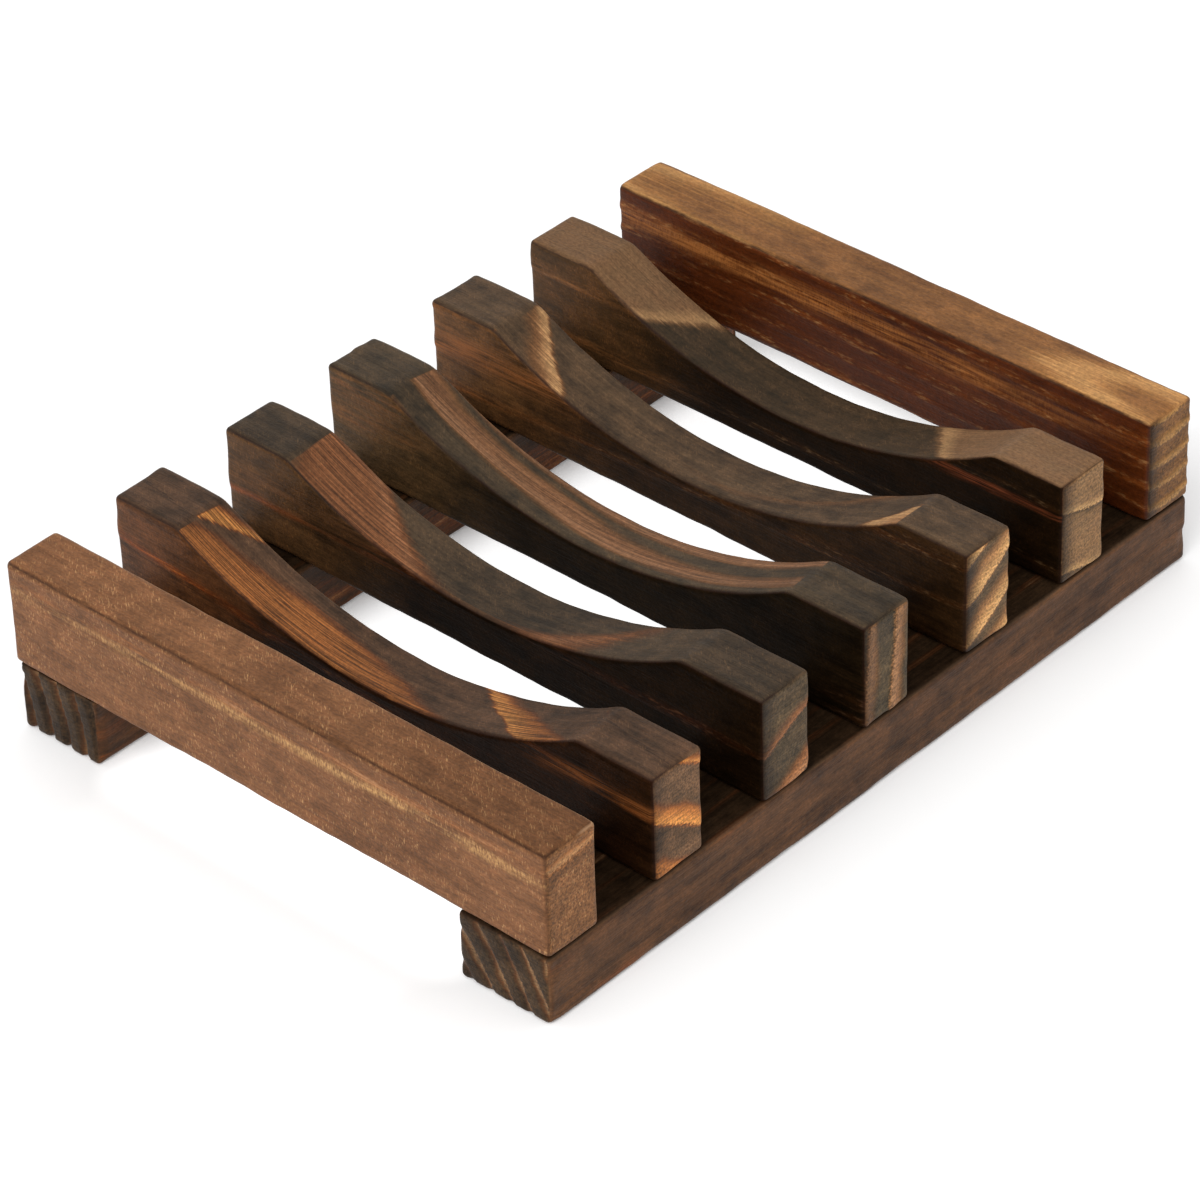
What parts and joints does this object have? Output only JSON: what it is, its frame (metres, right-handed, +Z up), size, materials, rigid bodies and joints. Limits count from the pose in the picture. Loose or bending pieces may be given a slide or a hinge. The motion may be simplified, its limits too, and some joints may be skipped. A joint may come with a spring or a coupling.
{
  "type": "soap dish",
  "caption": "Slatted soap dish of charred wood: scooped slats between plain end slats, glued and pinned across two rails, so that soap sits in the hollow and water drains off.",
  "frame": {"origin": "on the shelf, under the middle of the dish's box", "axes": "+X along the rails from the left end slat to the right one, +Y along the slats from the front rail to the rear one, +Z up"},
  "size_m": [0.1184, 0.088, 0.0248],
  "materials": {
    "slat_wood": "charred and brushed pine under a satin lacquer",
    "rail_wood": "charred and brushed pine under a satin lacquer",
    "brad_steel": "bright drawn wire"
  },
  "bodies": {
    "root": {"left_end_slat": "slat_wood", "scooped_slat_1": "slat_wood", "scooped_slat_2": "slat_wood", "scooped_slat_3": "slat_wood", "scooped_slat_4": "slat_wood", "scooped_slat_5": "slat_wood", "right_end_slat": "slat_wood", "front_rail": "rail_wood", "rear_rail": "rail_wood", "front_rail_brads": "brad_steel", "rear_rail_brads": "brad_steel"}
  },
  "joints": []
}
